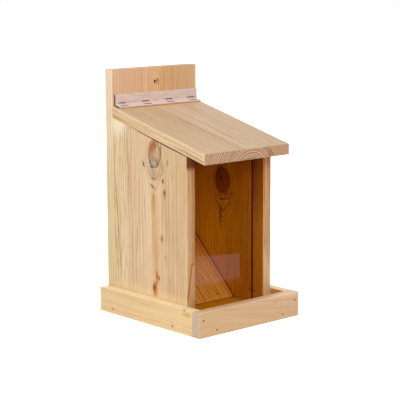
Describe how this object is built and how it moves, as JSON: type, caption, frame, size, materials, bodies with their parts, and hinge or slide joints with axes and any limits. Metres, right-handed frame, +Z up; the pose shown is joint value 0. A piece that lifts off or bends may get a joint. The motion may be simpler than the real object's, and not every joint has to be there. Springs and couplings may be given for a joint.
{
  "type": "bird feeder",
  "caption": "Wooden hopper bird feeder with a hinged sloping roof, a clear front pane over a seed gap, a sloped seed ramp inside, a railed tray and a tall back board with a hanging hole.",
  "frame": {"origin": "middle of the footprint, at the level the feeder stands on", "axes": "+Z up, the open front and the tray face -Y, +X to the right seen from the front"},
  "size_m": [0.226, 0.258, 0.416],
  "materials": {
    "back_board": "planed softwood, bare",
    "left_side_panel": "planed softwood, bare, knotty",
    "right_side_panel": "planed softwood, bare, knotty",
    "floor_board": "planed softwood, bare",
    "ramp_board": "planed softwood, bare",
    "left_rail": "planed softwood, bare",
    "right_rail": "planed softwood, bare",
    "front_rail": "planed softwood, bare",
    "roof_board": "planed softwood, bare",
    "clear_pane": "clear, polished",
    "strip_fabric": "fine woven facing",
    "staple_wire": "dull",
    "nail_steel": "dull, darkened"
  },
  "bodies": {
    "house": {"back_board": "back_board", "left_side_panel": "left_side_panel", "right_side_panel": "right_side_panel", "floor_board": "floor_board", "ramp_board": "ramp_board", "left_rail": "left_rail", "right_rail": "right_rail", "front_rail": "front_rail", "hinge_strip": "strip_fabric", "strip_board_staples": "staple_wire", "left_pane_staple": "staple_wire", "right_pane_staple": "staple_wire", "front_rail_end_nails": "nail_steel", "front_rail_floor_nails": "nail_steel", "left_rail_nails": "nail_steel", "right_rail_nails": "nail_steel", "under_panel_nails": "nail_steel", "back_panel_nails": "nail_steel", "back_floor_nails": "nail_steel", "ramp_foot_nails": "nail_steel", "ramp_back_nails": "nail_steel"},
    "roof": {"roof_board": "roof_board", "strip_roof_staples": "staple_wire"},
    "pane": {"front_pane": "clear_pane"}
  },
  "joints": [
    {"name": "roof_hinge", "type": "hinge", "parent": "house", "child": "roof", "pos_m": [0, 0.10936, 0.35559], "axis": [-1, 0, 0], "range_deg": [0, 85], "deforming": ["hinge_strip"]},
    {"name": "pane_slide", "type": "slide", "parent": "house", "child": "pane", "axis": [0, 0, 1], "range_m": [0, 0.004]}
  ]
}
